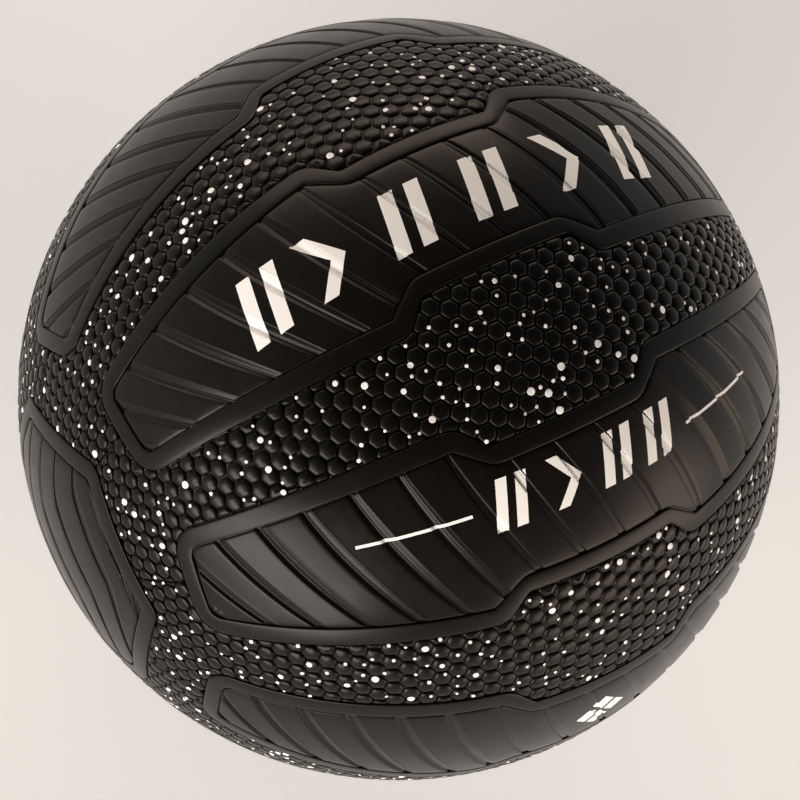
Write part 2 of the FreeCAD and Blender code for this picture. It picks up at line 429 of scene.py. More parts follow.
# ---------------------------------------------------------------- treads
@dataclass
class Tread:
    """The grooved rubber inside a band, made of lugs between slanting grooves.

    A groove's section is given from its middle line, in mm, with heights over the ball's radius.
    The middle of a strip has a trough with a gutter down each side. Towards the ends one side
    turns into a deep wall and the other into a ramp that ends in a thin raised lip.
    """

    edge: Outline
    pitch: float = 6.85
    shift: float = 0.0
    reach: int = 9
    middle_section: tuple = (
        (-1.9, 0.0), (-1.6, -0.02), (-1.35, -0.1), (-1.15, -0.56), (-0.75, -0.47), (-0.3, -0.41),
        (0.4, -0.42), (1.0, -0.55), (1.2, -0.5), (1.4, -0.1), (1.7, -0.02), (2.1, 0.0),
    )
    end_section: tuple = (
        (-1.9, -0.02), (-1.6, -0.08), (-1.35, -0.22), (-0.75, -0.7), (-0.3, -0.84), (0.1, -0.8),
        (0.5, -0.55), (0.9, -0.38), (1.4, -0.27), (2.1, -0.17), (2.75, -0.06), (2.95, 0.07),
        (3.25, 0.02), (3.8, 0.0),
    )
    lug_steps: tuple = (-6.4, -4.7, -3.0, 5.5)
    groove_half_mm: float = 4.2
    rim: tuple = (
        (-HAIR, -0.78), (0.34, -0.78), (0.4, -0.42), (0.5, -0.26), (0.75, -0.15), (1.2, -0.08),
        (2.0, -0.04), (3.2, -0.01), (4.5, 0.0),
    )
    floor: float = -0.92
    rows_between: int = 24
    rim_rows_to: float = 5.0
    slope: float = 0.40
    slope_gain: float = 0.34
    slope_gain_at: float = 48.0
    slope_power: float = 2.2
    bow: float = 0.006
    bow_over: float = 10.0
    widest: float = 1.05
    narrowing: float = 0.38
    widest_across: float = -1.5
    narrowing_over: float = 12.0
    end_from: float = 9.0
    end_by: float = 26.0
    search_reach: float = 22.0
    search_step: float = 0.2
    top_share: float = 0.96
    end_lines: int = 14
    surface_rounds: int = 8
    sharp_from: float = 60.0
    grid: Points = field(init=False)

    def lean(self, phase: Points, across: Points) -> Points:
        """How far a groove has moved along the strip at a distance across it, in degrees."""
        gain = (np.abs(phase) / self.slope_gain_at) ** self.slope_power
        slope = self.slope + self.slope_gain * gain
        bow = self.bow * np.tanh(phase / self.bow_over)
        return -slope * across - bow * across**2

    def widen(self, phase: Points, across: Points) -> Points:
        """Phase with the grooves drawn narrower towards the band."""
        groove = np.round(phase / self.pitch) * self.pitch
        aside = phase - groove
        half = self.groove_half_mm * math.degrees(MM_TO_RADIANS)
        off = np.clip((across - self.widest_across) / self.narrowing_over, -1, 1)
        wider = self.widest - self.narrowing * off**2
        reach = np.abs(aside)
        near = reach * wider
        stretch = (self.pitch / 2 - half * wider) / (self.pitch / 2 - half)
        far = half * wider + (reach - half) * stretch
        return groove + np.sign(aside) * np.where(reach < half, near, far)

    def curve(self, phase: Points, across: Points) -> Points:
        """Directions of the points on a groove's line, or on a line beside it."""
        phase, across = np.broadcast_arrays(phase, across)
        along = self.shift + self.widen(phase, across) + self.lean(phase, across)
        return direction(along, across)

    def groove_height(self, phase: Points) -> Points:
        """Height in mm that the grooves alone leave at a phase."""
        aside = phase - np.round(phase / self.pitch) * self.pitch
        aside = aside / math.degrees(MM_TO_RADIANS)
        middle = np.interp(aside, *zip(*self.middle_section))
        end = np.interp(aside, *zip(*self.end_section))
        share = smoothstep(self.end_from, self.end_by, np.abs(phase))
        return middle * (1 - share) + end * share

    def rim_height(self, inset: Points) -> Points:
        """Height in mm that the rim alone leaves at a distance in from the band."""
        return np.interp(inset, *zip(*self.rim))

    def height(self, phase: Points, inset: Points) -> Points:
        """Height in mm over the ball's radius."""
        return np.maximum(self.groove_height(phase) + self.rim_height(inset), self.floor)

    def phases(self) -> Points:
        """Phases of the lines that the mesh follows, in degrees."""
        corners = {step for step, _ in self.middle_section + self.end_section}
        steps = np.array(sorted(corners | set(self.lug_steps))) * math.degrees(MM_TO_RADIANS)
        grooves = np.arange(-self.reach, self.reach + 1) * self.pitch
        return (grooves[:, None] + steps).ravel()

    def columns(self, phases: Points) -> tuple[list[Points], list[Points]]:
        """Cuts each line to the outline.

        Args:
            phases: Phases of the lines.

        Returns:
            The phases of those that cross the outline, and degrees across for each one's points.
        """
        steps = round(self.search_reach / self.search_step)
        across = np.arange(-steps, steps + 1) * self.search_step
        inset = self.edge.inset(self.curve(phases[:, None], across[None]))
        levels = np.array([step for step, _ in self.rim if step <= self.rim_rows_to])
        kept, rows = [], []
        for phase, depth in zip(phases, inset):
            top = int(np.argmax(depth))
            if depth[top] < 4 * HAIR:
                continue
            wanted = np.minimum(levels, self.top_share * depth[top])
            low_end = top - int(np.argmax(depth[top::-1] < -HAIR))
            high_end = top + int(np.argmax(depth[top:] < -HAIR))
            low_part, high_part = slice(low_end, top + 1), slice(top, high_end + 1)
            rise = np.maximum.accumulate(depth[low_part])
            fall = np.maximum.accumulate(depth[high_part][::-1])
            low = np.interp(wanted, rise, across[low_part])
            high = np.interp(wanted, fall, across[high_part][::-1])
            between = np.linspace(low[-1], high[-1], self.rows_between + 2)[1:-1]
            kept.append(phase)
            rows.append(np.concatenate([low, between, high[::-1]]))
        return kept, rows

    def __post_init__(self) -> None:
        """Makes the grid of points."""
        phases = self.phases()
        kept, _ = self.columns(phases)
        first, last = (phases.tolist().index(kept[k]) for k in (0, -1))
        before = np.linspace(phases[first - 1], phases[first], self.end_lines)
        after = np.linspace(phases[last], phases[last + 1], self.end_lines)
        every = np.unique(np.concatenate([phases[first : last + 1], before, after]))
        kept, rows = self.columns(every)
        phase, across = np.array(kept)[:, None], np.array(rows)
        places = self.curve(phase, across)
        height = self.height(phase + 0 * across, self.edge.inset(places))
        self.grid = places * (BALL_RADIUS + height * MM)[..., None]

    def surface(self, along: Points, across: Points) -> Points:
        """Points on the tread at angles on the panel.

        Args:
            along: Degrees along the panel.
            across: Degrees across it.

        Returns:
            Directions, and heights in mm over the ball's radius.
        """
        phase = along - self.shift
        for _ in range(self.surface_rounds):
            phase = along - self.shift - self.lean(phase, across)
        places = direction(along, across)
        return places, self.height(phase, self.edge.inset(places))

    def build(self, name: str, turn: Points, finish: bpy.types.Material) -> bpy.types.Object:
        """Makes the tread in its place on the ball."""
        sheet = MeshSheet()
        sheet.add_grid((self.grid @ turn.T).transpose(1, 0, 2))
        mesh = sheet.mesh(name)
        close_down(mesh)
        mesh.set_sharp_from_angle(angle=math.radians(self.sharp_from))
        return fit(place(name, mesh, finish), Slot.TREAD, name)


@dataclass
class CapTread(Tread):
    """The tread of a cap, whose grooves run straight and then bend near two of its corners."""

    shift: float = -1.0
    reach: int = 4
    rows_between: int = 64
    rim_rows_to: float = 0.8
    slope: float = 0.135
    bend: float = 0.2
    bend_from: float = 6.0
    bend_power: float = 1.5

    def lean(self, phase: Points, across: Points) -> Points:
        """How far a groove has moved along the cap at a distance across it, in degrees."""
        past = np.maximum(np.abs(across) - self.bend_from, 0)
        bent = np.sign(across) * self.bend * past**self.bend_power
        return self.slope * across + bent + 0 * phase


# ---------------------------------------------------------------- pebbles
@dataclass
class PebbleField:
    """The raised hexagonal pebbles that fill one gap between two strips.

    Pitches are in degrees. Insets and heights are in mm, from a pebble's edge to its crest.
    """

    gap: int
    strip_edge: Outline
    cap_edge: Outline
    pitch: float = 2.65
    end_pitch: float = 2.42
    end_at: float = 60.0
    reach: float = 73.0
    ways: int = 18
    ray_steps: int = 16
    insets: tuple = (0.0, 0.19, 0.26, 0.42, 0.75, 1.35, 2.2)
    heights: tuple = (0.1, 0.0, 0.36, 0.53, 0.69, 0.82, 0.9)
    crest: float = 0.92
    crest_inset: float = 2.8
    wall_gap: float = 0.3
    valve_clearance: float = 7.6
    rows_each_way: int = 14
    widest_y: float = 0.45
    trial_rings: tuple = (0.35, 0.65, 0.92)
    trial_ways: int = 12
    least_room: float = 0.15
    least_share: float = 0.08
    most_weight: float = 1.5
    near_wall: float = 7.0
    ray_share: float = 0.8
    corner_power: float = 16.0
    ring_shrink: float = 0.985
    sharp_from: float = 75.0
    turn: Points = field(init=False)
    sites: Points = field(init=False)
    near: Points = field(init=False)

    def __post_init__(self) -> None:
        """Lays out the pebbles' middles and finds the neighbours of each."""
        self.turn = about("X", STRIP_STEP * self.gap)
        columns = [0.0]
        while columns[-1] < self.reach:
            columns.append(columns[-1] + self.pitch_at(columns[-1]) * math.sqrt(3) / 2)
        sites, near = [], []
        last = len(columns) - 1
        position = {k: math.copysign(columns[abs(k)], k) for k in range(-last, last + 1)}
        for k in range(1 - last, last):
            around = [(k, 1.0), (k, -1.0)] + [(k + a, b) for a in (1, -1) for b in (0.5, -0.5)]
            for j in range(-self.rows_each_way, self.rows_each_way + 1):
                row = j + 0.5 * (k % 2)
                site = self.site(position, k, row)
                if abs(site[1]) > self.widest_y:
                    continue
                sites.append(site)
                near.append([self.site(position, c, row + step) for c, step in around])
        self.sites, self.near = np.array(sites), np.array(near)

    def pitch_at(self, along: float) -> float:
        """Distance between pebbles at an angle along the gap, in degrees."""
        return self.pitch - (self.pitch - self.end_pitch) * (along / self.end_at) ** 2

    def site(self, position: dict, column: int, row: float) -> Points:
        """The direction of a pebble's middle."""
        along = position[column]
        return direction(np.array(along), np.array(self.pitch_at(along) * row))

    def room(self, points: Points) -> Points:
        """Distance in mm from points to the nearest band or to the valve, less than 0 under it."""
        found = np.full(points.shape[:-1], FAR_MM)
        for side in (0.5, -0.5):
            back = about("X", STRIP_STEP * side)
            found = np.minimum(found, -self.strip_edge.inset(points @ back))
        for side in (90, -90):
            back = self.turn.T @ about("Y", side)
            found = np.minimum(found, -self.cap_edge.inset(points @ back))
        valve = self.turn.T @ np.array((0.0, -1.0, 0.0))
        from_valve = np.arccos(np.clip(points @ valve, -1, 1)) / MM_TO_RADIANS
        return np.minimum(found, from_valve - self.valve_clearance)

    def border(self) -> Points:
        """Normals of the two planes where this gap's pebbles meet the next gaps'."""
        half = math.radians(STRIP_STEP / 2)
        return np.array([(0.0, side * math.cos(half), math.sin(half)) for side in (1, -1)])

    def inset_at(self, points: Points) -> Points:
        """Distance in mm from points to the nearest edge of the pebble that they're on."""
        flat = points.reshape(-1, 3)
        nearest = np.argmax(flat @ self.sites.T, 1)
        toward = unit(self.sites[nearest][:, None] - self.near[nearest])
        found = np.arcsin(dot(flat[:, None], toward)).min(1)
        found = np.minimum(found, np.arcsin(flat @ self.border().T).min(1)) / MM_TO_RADIANS
        walls = self.room(points).ravel() - self.wall_gap + self.insets[1]
        return np.minimum(found, walls).reshape(points.shape[:-1])

    def height(self, inset: Points) -> Points:
        """Height in mm over the ball's radius at a distance in from a pebble's edge."""
        insets, heights = self.insets + (self.crest_inset,), self.heights + (self.crest,)
        return np.interp(inset, insets, heights) - self.crest

    def move_middles(self) -> tuple[Points, Points, Points]:
        """Finds the pebbles that show, and moves the middles of cut ones onto what's left.

        Returns:
            Their middles, their own sites and their neighbours' sites.
        """
        side = unit(np.cross(self.sites, (0.0, 1.0, 0.0)))
        up = np.cross(self.sites, side)
        ring = [(0.0, 0.0)]
        for reach in self.trial_rings:
            turns = circle(self.trial_ways)
            ring += [(reach * math.cos(turn), reach * math.sin(turn)) for turn in turns]
        ring = np.array(ring)[None] * math.radians(self.pitch / 2)
        aside = side[:, None] * ring[..., :1] + up[:, None] * ring[..., 1:]
        trial = unit(self.sites[:, None] + aside)
        limit = np.arcsin(trial @ self.border().T).min(-1) / MM_TO_RADIANS
        open_to = np.minimum(self.room(trial) - self.wall_gap, limit - self.insets[1])
        free = open_to > self.least_room
        kept = free.mean(1) > self.least_share
        free, trial, open_to = free[kept], trial[kept], open_to[kept]
        weight = free * np.minimum(open_to, self.most_weight)
        middle = unit((trial * weight[..., None]).sum(1))
        whole = free.all(1)
        middle[whole] = self.sites[kept][whole]
        return middle, self.sites[kept], self.near[kept]

    def ring_reach(self, middle: Points, own: Points, near: Points, ray: Points) -> Points:
        """Measures each pebble from its middle, one way and one ring at a time.

        Args:
            middle: The pebbles' middles.
            own: Their own sites.
            near: Their neighbours' sites.
            ray: The ways out from each middle.

        Returns:
            Angles in radians from the middle to each ring, along each way.
        """
        borders = np.broadcast_to(self.border()[None], (len(own), 2, 3))
        toward = np.concatenate([unit(own[:, None] - near), borders], 1)
        ahead = np.einsum("crx,cnx->crn", ray, toward)
        here = np.einsum("cx,cnx->cn", middle, toward)[:, None]
        level = np.sin(np.array(self.insets) * MM_TO_RADIANS)
        share = np.clip(level / np.hypot(ahead, here)[..., None], -1, 1)
        reach = np.maximum(np.arctan2(ahead, here)[..., None] + np.arccos(share), TINY)
        hard = reach.min(2)
        soft = (reach**-self.corner_power).sum(2) ** (-1 / self.corner_power)
        rounding = np.clip(np.arange(len(level)) - 1, 0, 1)
        return hard * (1 - rounding) + soft * rounding

    def cut_at_walls(self, limit: Points, middle: Points, ray: Points) -> Points:
        """Shortens the rings where a band, the valve or the ring outside them is in the way."""
        distance = np.linspace(0, math.radians(self.pitch * self.ray_share), self.ray_steps)
        ahead = ray[:, :, None] * np.sin(distance)[:, None]
        places = middle[:, None, None] * np.cos(distance)[:, None] + ahead
        room = np.full(places.shape[:-1], FAR_MM)
        close = self.room(middle) < self.near_wall
        room[close] = self.room(places[close])
        walls = np.array(self.insets) - self.insets[1] + self.wall_gap
        walls[0] = -HAIR
        for k, wall in enumerate(walls):
            under = room < wall
            index = np.maximum(under.argmax(-1), 1)
            after = np.take_along_axis(room, index[..., None], -1)[..., 0]
            before = np.take_along_axis(room, index[..., None] - 1, -1)[..., 0]
            part = np.clip((before - wall) / np.maximum(before - after, TINY), 0, 1)
            crossing = distance[index - 1] + part * (distance[1] - distance[0])
            crossing = np.where(under.any(-1), crossing, math.pi)
            limit[..., k] = np.minimum(limit[..., k], crossing)
        for k in range(1, len(walls)):
            limit[..., k] = np.minimum(limit[..., k], limit[..., k - 1] * self.ring_shrink)
        return limit

    def build(self, name: str, finish: bpy.types.Material) -> bpy.types.Object:
        """Makes the gap's pebbles."""
        middle, own, near = self.move_middles()
        ray = rays(middle, self.ways)
        limit = self.ring_reach(middle, own, near, ray)
        limit = self.cut_at_walls(limit, middle, ray)[..., None]
        deepest = self.inset_at(middle)
        height = self.height(np.minimum(np.array(self.insets)[None], deepest[:, None]))
        places = middle[:, None, None] * np.cos(limit) + ray[:, :, None] * np.sin(limit)
        points = places * (BALL_RADIUS + height * MM)[:, None, :, None]
        crest = self.height(np.minimum(deepest, self.crest_inset))
        tips = middle * (BALL_RADIUS + crest * MM)[:, None]

        sheet = MeshSheet()
        outermost = sheet.add_studs(points, tips, self.turn)
        mesh = sheet.mesh(name)
        close_down(mesh, outermost)
        mesh.set_sharp_from_angle(angle=math.radians(self.sharp_from))
        return fit(place(name, mesh, finish), Slot.PEBBLE, "pebble_cover")


@dataclass
class PaintSpecks:
    """Round white specks of paint that lie on the pebbles.

    Radii are in mm. Each ring of a speck is a share of its radius and a height over what lies
    under it.
    """

    seed: int = 11
    per_cm2: float = 2.7
    apart: float = 2.7
    large_radius: float = 1.0
    small_radius: float = 0.55
    large_share: float = 0.2
    size_swing: float = 0.2
    ends: float = 0.94
    ways: int = 12
    rings: tuple = ((1.0, -0.03), (0.86, 0.055), (0.5, 0.06))
    edge_room: float = 0.2
    sag: float = 0.22

    def spread(self, middle: Points, radius: Points) -> tuple[Points, Points]:
        """Leaves out the specks that would touch an earlier one."""
        near = math.cos(self.apart * MM_TO_RADIANS)
        kept: list[int] = []
        for k in range(len(middle)):
            if not kept or (middle[kept] @ middle[k]).max() < near:
                kept.append(k)
        return middle[kept], radius[kept]

    def build(self, pebbles: PebbleField, finish: bpy.types.Material) -> bpy.types.Object:
        """Makes the specks of one gap."""
        rng = np.random.default_rng(self.seed + pebbles.gap)
        area = 4 * math.pi * (BALL_RADIUS * 100) ** 2 / STRIP_COUNT
        count = round(self.per_cm2 * area)
        along = np.arcsin(rng.uniform(-self.ends, self.ends, count))
        turn = rng.uniform(-0.5, 0.5, count) * math.radians(STRIP_STEP)
        ring = np.cos(along)
        middle = np.stack([np.sin(along), ring * np.sin(turn), ring * np.cos(turn)], -1)
        large = rng.random(count) < self.large_share
        swing = rng.uniform(1 - self.size_swing, 1 + self.size_swing, count)
        radius = np.where(large, self.large_radius, self.small_radius) * swing
        keep = pebbles.room(middle) > radius + self.edge_room
        middle, radius = self.spread(middle[keep], radius[keep])
        shares, lifts = np.array(self.rings).T
        reach = (radius[:, None] * shares * MM_TO_RADIANS)[:, None, :, None]
        places = unit(middle[:, None, None] + rays(middle, self.ways)[:, :, None] * reach)
        height = pebbles.height(pebbles.inset_at(places))
        under = pebbles.height(pebbles.inset_at(middle))
        bridge = np.maximum(height.max((1, 2)), under) - self.sag
        height = np.maximum(height, bridge[:, None, None]) + lifts
        top = np.maximum(under, bridge) + lifts[-1]
        points = places * (BALL_RADIUS + height * MM)[..., None]
        tips = middle * (BALL_RADIUS + top * MM)[:, None]
        sheet = MeshSheet()
        sheet.add_studs(points, tips, pebbles.turn)
        name = f"paint_specks_{pebbles.gap + 1}"
        return fit(place(name, sheet.mesh(name), finish), Slot.INK)


# ---------------------------------------------------------------- printed marks
class Mark(Enum):
    """Plain printed shapes, as four-cornered pieces in a box from 0 to 1 each way."""

    SLASHES = (
        ((0.0, 0.0), (0.26, 0.0), (0.52, 1.0), (0.26, 1.0)),
        ((0.46, 0.0), (0.72, 0.0), (0.98, 1.0), (0.72, 1.0)),
    )
    CHEVRON = (
        ((0.0, 0.0), (0.3, 0.0), (0.8, 0.5), (0.5, 0.5)),
        ((0.5, 0.5), (0.8, 0.5), (0.3, 1.0), (0.0, 1.0)),
    )
    DASH = (((0.0, 0.0), (1.0, 0.0), (1.0, 1.0), (0.0, 1.0)),)
    TILE = (
        ((0.5, 0.0), (0.72, 0.22), (0.5, 0.44), (0.28, 0.22)),
        ((0.5, 0.56), (0.72, 0.78), (0.5, 1.0), (0.28, 0.78)),
        ((0.22, 0.28), (0.44, 0.5), (0.22, 0.72), (0.0, 0.5)),
        ((0.78, 0.28), (1.0, 0.5), (0.78, 0.72), (0.56, 0.5)),
    )


@dataclass
class PrintedMarks:
    """White ink printed over a strip's lugs and grooves."""

    name: str
    strip: int
    marks: tuple
    tread: Tread
    ink_height: float = 0.05
    grain: float = 0.3

    def patch(self, sheet: MeshSheet, corners: Points) -> None:
        """Adds a four-cornered patch that lies on the tread."""
        size = np.linalg.norm(corners - np.roll(corners, 1, 0), axis=-1)
        size = size / math.degrees(MM_TO_RADIANS)
        across, along = (max(2, round(size[k::2].max() / self.grain)) for k in (0, 1))
        s, t = np.meshgrid(np.linspace(0, 1, along + 1), np.linspace(0, 1, across + 1))
        s, t = s[..., None], t[..., None]
        low = (1 - s) * corners[0] + s * corners[1]
        high = (1 - s) * corners[3] + s * corners[2]
        flat = (1 - t) * low + t * high
        places, height = self.tread.surface(flat[..., 0], flat[..., 1])
        sheet.add_grid(places * (BALL_RADIUS + (height + self.ink_height) * MM)[..., None])

    def build(self, finish: bpy.types.Material) -> bpy.types.Object:
        """Makes the marks of one strip."""
        sheet = MeshSheet()
        for shape, left, right, low, high in self.marks:
            for corners in shape.value:
                box = np.array(corners) * (right - left, high - low) + (left, low)
                self.patch(sheet, box)
        turn = about("X", STRIP_STEP * (self.strip - 0.5))
        sheet.points = [points @ turn.T for points in sheet.points]
        return fit(place(self.name, sheet.mesh(self.name), finish), Slot.INK)


# Each mark is a shape, and where its box starts and ends along and across the strip, in degrees.
PRINTS = (
    ("wide_print", 8, (
        (Mark.SLASHES, -34.5, -26.0, -5.2, 4.5),
        (Mark.CHEVRON, -23.5, -15.8, -5.2, 4.5),
        (Mark.SLASHES, -12.0, -3.4, -5.2, 4.5),
        (Mark.SLASHES, 0.5, 9.4, -5.2, 4.5),
        (Mark.CHEVRON, 14.6, 22.5, -5.2, 4.5),
        (Mark.SLASHES, 26.5, 35.0, -5.2, 4.5),
    )),
    ("small_print", 1, (
        (Mark.DASH, -33.0, -16.8, 2.5, 2.95),
        (Mark.SLASHES, -14.2, -8.0, -0.8, 6.6),
        (Mark.CHEVRON, -5.2, 0.6, -0.8, 6.6),
        (Mark.SLASHES, 2.2, 8.7, -0.8, 6.6),
        (Mark.SLASHES, 9.7, 16.2, -0.8, 6.6),
        (Mark.DASH, 18.2, 34.5, 1.4, 1.85),
    )),
    ("tile_print", 2, ((Mark.TILE, -3.7, 4.5, -4.5, 4.7),)),
)


# ---------------------------------------------------------------- valve
@dataclass
class ValveMouth:
    """The smooth collar round the valve, and the lip round its needle hole."""

    collar: tuple = (
        (7.75, -0.95), (7.6, -0.5), (7.3, -0.3), (6.6, -0.2), (5.4, -0.25), (4.9, -0.4),
        (4.7, -0.9),
    )
    lip: tuple = (
        (2.3, -0.62), (2.1, -0.45), (1.7, -0.38), (1.35, -0.45), (1.15, -0.62), (1.12, -1.4),
    )
    ways: int = 64

    def lathe(self, name: str, section: tuple, finishes: dict, slot: Slot) -> bpy.types.Object:
        """Turns a section of radii and heights in mm about the valve's axis."""
        turns = circle(self.ways)
        rings = []
        for radius, height in section:
            angle = radius * MM_TO_RADIANS
            ring = np.stack([np.cos(turns) * math.sin(angle), np.sin(turns) * math.sin(angle)], -1)
            ring = np.concatenate([ring, np.full((self.ways, 1), math.cos(angle))], 1)
            rings.append(ring * (BALL_RADIUS + height * MM))
        sheet = MeshSheet()
        sheet.add_grid(np.stack(rings) @ about("X", 90).T, round_columns=True)
        return fit(place(name, sheet.mesh(name), finishes[slot]), slot)

    def build(self, finishes: dict) -> None:
        """Makes the collar and the lip."""
        self.lathe("valve_collar", self.collar, finishes, Slot.PEBBLE)
        self.lathe("needle_lip", self.lip, finishes, Slot.VALVE)


# ---------------------------------------------------------------- finishes
def linear(hex_colour: str) -> tuple[float, float, float, float]:
    """Turns an sRGB hex colour to a linear one."""
    parts = [int(hex_colour[k : k + 2], 16) / 255 for k in (1, 3, 5)]
    return (*(p / 12.92 if p <= 0.04045 else ((p + 0.055) / 1.055) ** 2.4 for p in parts), 1.0)


def add_node(
    tree: bpy.types.NodeTree,
    kind: str,
    settings: dict | None = None,
    links: dict | None = None,
) -> bpy.types.Node:
    """Adds a node to a tree.

    Args:
        tree: The tree.
        kind: The node's type.
        settings: Values for its inputs, by name or number, or for its properties, by name.
        links: Output sockets of other nodes, by the input that each goes to.

    Returns:
        The node.
    """
    node = tree.nodes.new(kind)
    for key, value in (settings or {}).items():
        if isinstance(key, int) or key in node.inputs:
            node.inputs[key].default_value = value
        else:
            setattr(node, key, value)
    for key, source in (links or {}).items():
        tree.links.new(source, node.inputs[key])
    return node


@dataclass(frozen=True)
class RubberFinish:
    """Vulcanised rubber from a steel mould.

    The mould's polish leaves a grain of about 0.1 mm. It is drawn four or five times as coarse,
    so that it shows.
    """

    name: str
    dark: str
    pale: str
    roughness: float
    gloss_swing: float = 0.1
    grain_mm: float = 0.5
    grain_height_mm: float = 0.02
    cloud_mm: float = 9.0
    ior: float = 1.52
    specular_level: float = 0.15

    def make(self) -> bpy.types.Material:
        """Makes the material."""
        made = bpy.data.materials.new(self.name)
        made.use_nodes = True
        tree = made.node_tree
        shader = tree.nodes["Principled BSDF"]
        place_at = add_node(tree, "ShaderNodeTexCoord").outputs["Object"]
        cloud = add_node(
            tree,
            "ShaderNodeTexNoise",
            {"Scale": 1 / (self.cloud_mm * MM), "Detail": 5.0, "Roughness": 0.6},
            {"Vector": place_at},
        )
        tone = add_node(tree, "ShaderNodeMix", {"data_type": "RGBA"}, {0: cloud.outputs[0]})
        tone.inputs[6].default_value = linear(self.dark)
        tone.inputs[7].default_value = linear(self.pale)
        tree.links.new(tone.outputs[2], shader.inputs["Base Color"])
        low, high = self.roughness - self.gloss_swing, self.roughness + self.gloss_swing
        gloss = add_node(
            tree,
            "ShaderNodeMapRange",
            {"To Min": low, "To Max": high},
            {"Value": cloud.outputs[0]},
        )
        tree.links.new(gloss.outputs[0], shader.inputs["Roughness"])
        grain = add_node(
            tree,
            "ShaderNodeTexNoise",
            {"Scale": 1 / (self.grain_mm * MM), "Detail": 3.0},
            {"Vector": place_at},
        )
        bump = add_node(
            tree,
            "ShaderNodeBump",
            {"Distance": self.grain_height_mm * MM, "Strength": 1.0},
            {"Height": grain.outputs[0]},
        )
        tree.links.new(bump.outputs[0], shader.inputs["Normal"])
        shader.inputs["IOR"].default_value = self.ior
        shader.inputs["Specular IOR Level"].default_value = self.specular_level
        return made


@dataclass(frozen=True)
class PlainFinish:
    """A finish of one colour, for ink, thread and other parts without a pattern of their own."""

    name: str
    colour: str
    roughness: float
    ior: float = 1.5
    grain_mm: float = 0.8
    gloss_swing: float = 0.06

    def make(self) -> bpy.types.Material:
        """Makes the material."""
        made = bpy.data.materials.new(self.name)
        made.use_nodes = True
        tree = made.node_tree
        shader = tree.nodes["Principled BSDF"]
        shader.inputs["Base Color"].default_value = linear(self.colour)
        shader.inputs["IOR"].default_value = self.ior
        place_at = add_node(tree, "ShaderNodeTexCoord").outputs["Object"]
        scale = {"Scale": 1 / (self.grain_mm * MM)}
        grain = add_node(tree, "ShaderNodeTexNoise", scale, {"Vector": place_at})
        low, high = self.roughness - self.gloss_swing, self.roughness + self.gloss_swing
        gloss = add_node(
            tree,
            "ShaderNodeMapRange",
            {"To Min": low, "To Max": high},
            {"Value": grain.outputs[0]},
        )
        tree.links.new(gloss.outputs[0], shader.inputs["Roughness"])
        return made


# Each comment says what the real finish gives the eye.
FINISHES = {
    # Carbon-black rubber off a polished mould: a near-black lug with a wide satin sheen.
    Slot.TREAD: RubberFinish("moulded_tread_rubber", "#0C0A08", "#13100E", 0.29),
    # The same rubber, from a smoother part of the mould: a cleaner, slightly tighter sheen.
    Slot.BAND: RubberFinish("moulded_band_rubber", "#0C0A08", "#110F0D", 0.30, 0.06, 0.4, 0.008),
    # The same rubber off a sanded mould: softer highlights on each pebble.
    Slot.PEBBLE: RubberFinish(
        "moulded_pebble_rubber", "#0B0907", "#100E0C", 0.27, 0.08, 0.45, 0.015
    ),
    # Rubber ink: an even, slightly warm white that takes on the rubber's own satin.
    Slot.INK: PlainFinish("printed_white_rubber_ink", "#FAF9F8", 0.5),
    # Foamed rubber backing: dull and dark, out of sight under the cover.
    Slot.BACKING: PlainFinish("foamed_backing_rubber", "#2B2826", 0.8),
    # Wound nylon thread: off-white with a silky sheen, out of sight.
    Slot.THREAD: PlainFinish("wound_nylon_thread", "#D9D4C6", 0.45, 1.53),
    # Butyl rubber bladder: matt black, out of sight.
    Slot.BUTYL: PlainFinish("moulded_butyl_rubber", "#1A1A1A", 0.6),
    # The valve's softer rubber: a little greyer and duller than the cover.
    Slot.VALVE: RubberFinish("moulded_valve_rubber", "#1B1A19", "#262423", 0.5, 0.05, 0.4, 0.01),
}
CAD_FINISHES = {
    "valve_body": Slot.VALVE,
    "valve_core": Slot.VALVE,
    "balance_patch": Slot.BUTYL,
    "bladder": Slot.BUTYL,
    "thread_winding": Slot.THREAD,
    "backing_rubber": Slot.BACKING,
}


# ---------------------------------------------------------------- studio
@dataclass(frozen=True)
class SoftBox:
    """A studio light that faces the ball."""

    name: str
    place_at: tuple
    power: float
    colour: str = "#FFFFFF"
    width: float = 9.0
    height: float = 3.5

    def build(self) -> None:
        """Adds the light."""
        lamp = bpy.data.lights.new(self.name, "AREA")
        lamp.shape, lamp.size, lamp.size_y = "RECTANGLE", self.width, self.height
        lamp.energy = self.power
        lamp.color = linear(self.colour)[:3]
        made = bpy.data.objects.new(self.name, lamp)
        made.location = self.place_at
        made.rotation_euler = (-Vector(self.place_at)).to_track_quat("-Z", "Y").to_euler()
        bpy.context.scene.collection.objects.link(made)


